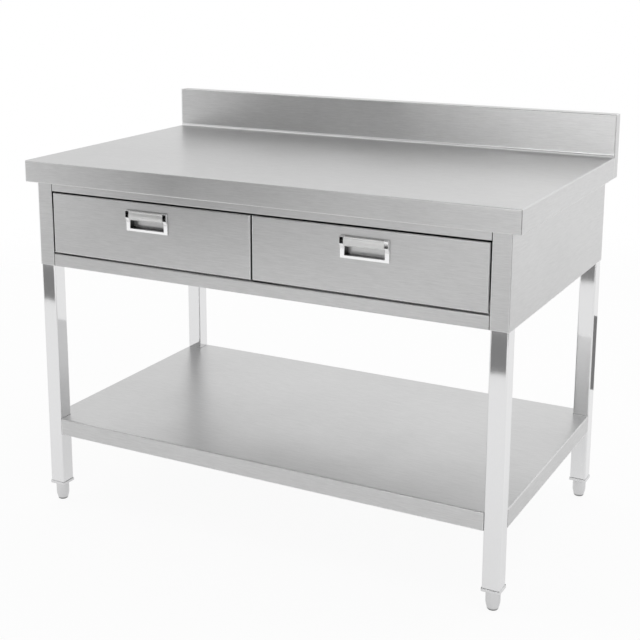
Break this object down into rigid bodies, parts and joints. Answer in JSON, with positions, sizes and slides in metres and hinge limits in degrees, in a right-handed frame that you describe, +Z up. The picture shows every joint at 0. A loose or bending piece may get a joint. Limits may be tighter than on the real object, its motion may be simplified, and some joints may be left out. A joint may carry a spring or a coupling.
{
  "type": "stainless steel worktable with drawers",
  "caption": "Brushed steel worktable with an upstand along its rear edge, drawers on telescopic slides, recessed hinged grips, a lower shelf and levelling feet.",
  "frame": {"origin": "on the floor, under the middle of the worktop's outline", "axes": "+Z up, +X along the table to the right seen from the drawers, drawers open towards -Y"},
  "size_m": [1.2, 0.7, 0.95],
  "materials": {
    "brushed_sheet": "stainless sheet with a fine straight brushed grain",
    "mill_sheet": "dull mill-finished stainless sheet, where the housing hides it",
    "polished_tube": "mirror-polished stainless square tube",
    "polished_fitting": "polished stainless fitting",
    "chromed_casting": "bright chrome plating on a casting",
    "satin_grip": "satin stainless plate",
    "zinc_plated_slide": "bright zinc-plated rolled steel",
    "screw_steel": "plain stainless nuts and screws"
  },
  "bodies": {
    "frame": {"back_panel": "brushed_sheet", "backsplash_end_left": "brushed_sheet", "backsplash_end_right": "brushed_sheet", "centre_divider": "mill_sheet", "drawer_left_slide_outer_inside": "zinc_plated_slide", "drawer_left_slide_outer_outside": "zinc_plated_slide", "drawer_right_slide_outer_inside": "zinc_plated_slide", "drawer_right_slide_outer_outside": "zinc_plated_slide", "front_bottom_rail": "brushed_sheet", "front_top_rail": "brushed_sheet", "leg_back_left": "polished_tube", "leg_back_right": "polished_tube", "leg_front_left": "polished_tube", "leg_front_right": "polished_tube", "leg_plug_back_left": "polished_fitting", "leg_plug_back_right": "polished_fitting", "leg_plug_front_left": "polished_fitting", "leg_plug_front_right": "polished_fitting", "shelf": "brushed_sheet", "shelf_bracket_back_left": "brushed_sheet", "shelf_bracket_back_right": "brushed_sheet", "shelf_bracket_front_left": "brushed_sheet", "shelf_bracket_front_right": "brushed_sheet", "shelf_nuts": "screw_steel", "shelf_stiffener": "brushed_sheet", "side_panel_left": "brushed_sheet", "side_panel_right": "brushed_sheet", "slide_bracket_left": "mill_sheet", "slide_bracket_right": "mill_sheet", "worktop": "brushed_sheet", "worktop_stiffener_back": "mill_sheet", "worktop_stiffener_front": "mill_sheet"},
    "drawer_left": {"drawer_left_box": "brushed_sheet", "drawer_left_front": "brushed_sheet", "drawer_left_front_liner": "brushed_sheet", "drawer_left_slide_inner_inside": "zinc_plated_slide", "drawer_left_slide_inner_outside": "zinc_plated_slide", "handle_left_housing": "chromed_casting", "handle_left_pin": "chromed_casting", "handle_left_screws": "screw_steel"},
    "slide_middle_left": {"drawer_left_slide_middle_inside": "zinc_plated_slide", "drawer_left_slide_middle_outside": "zinc_plated_slide"},
    "grip_left": {"handle_left_grip": "satin_grip"},
    "foot_front_left": {"foot_front_left": "polished_fitting"},
    "foot_back_left": {"foot_back_left": "polished_fitting"},
    "drawer_right": {"drawer_right_box": "brushed_sheet", "drawer_right_front": "brushed_sheet", "drawer_right_front_liner": "brushed_sheet", "drawer_right_slide_inner_inside": "zinc_plated_slide", "drawer_right_slide_inner_outside": "zinc_plated_slide", "handle_right_housing": "chromed_casting", "handle_right_pin": "chromed_casting", "handle_right_screws": "screw_steel"},
    "slide_middle_right": {"drawer_right_slide_middle_inside": "zinc_plated_slide", "drawer_right_slide_middle_outside": "zinc_plated_slide"},
    "grip_right": {"handle_right_grip": "satin_grip"},
    "foot_front_right": {"foot_front_right": "polished_fitting"},
    "foot_back_right": {"foot_back_right": "polished_fitting"}
  },
  "joints": [
    {"name": "drawer_left_slide", "type": "slide", "parent": "frame", "child": "drawer_left", "axis": [0, -1, 0], "range_m": [0, 0.45]},
    {"name": "middle_left_slide", "type": "slide", "parent": "frame", "child": "slide_middle_left", "axis": [0, -1, 0], "range_m": [0, 0.225]},
    {"name": "grip_left_pivot", "type": "hinge", "parent": "drawer_left", "child": "grip_left", "pos_m": [-0.26787, -0.3387, 0.7543], "axis": [-1, 0, 0], "range_deg": [0, 80]},
    {"name": "foot_front_left_level", "type": "slide", "parent": "frame", "child": "foot_front_left", "axis": [0, 0, -1], "range_m": [0, 0.025]},
    {"name": "foot_back_left_level", "type": "slide", "parent": "frame", "child": "foot_back_left", "axis": [0, 0, -1], "range_m": [0, 0.025]},
    {"name": "drawer_right_slide", "type": "slide", "parent": "frame", "child": "drawer_right", "axis": [0, -1, 0], "range_m": [0, 0.45]},
    {"name": "middle_right_slide", "type": "slide", "parent": "frame", "child": "slide_middle_right", "axis": [0, -1, 0], "range_m": [0, 0.225]},
    {"name": "grip_right_pivot", "type": "hinge", "parent": "drawer_right", "child": "grip_right", "pos_m": [0.26787, -0.3387, 0.7543], "axis": [-1, 0, 0], "range_deg": [0, 80]},
    {"name": "foot_front_right_level", "type": "slide", "parent": "frame", "child": "foot_front_right", "axis": [0, 0, -1], "range_m": [0, 0.025]},
    {"name": "foot_back_right_level", "type": "slide", "parent": "frame", "child": "foot_back_right", "axis": [0, 0, -1], "range_m": [0, 0.025]}
  ],
  "couplings": [
    {"joint": "middle_left_slide", "follows": "drawer_left_slide", "ratio": 0.5},
    {"joint": "middle_right_slide", "follows": "drawer_right_slide", "ratio": 0.5}
  ]
}
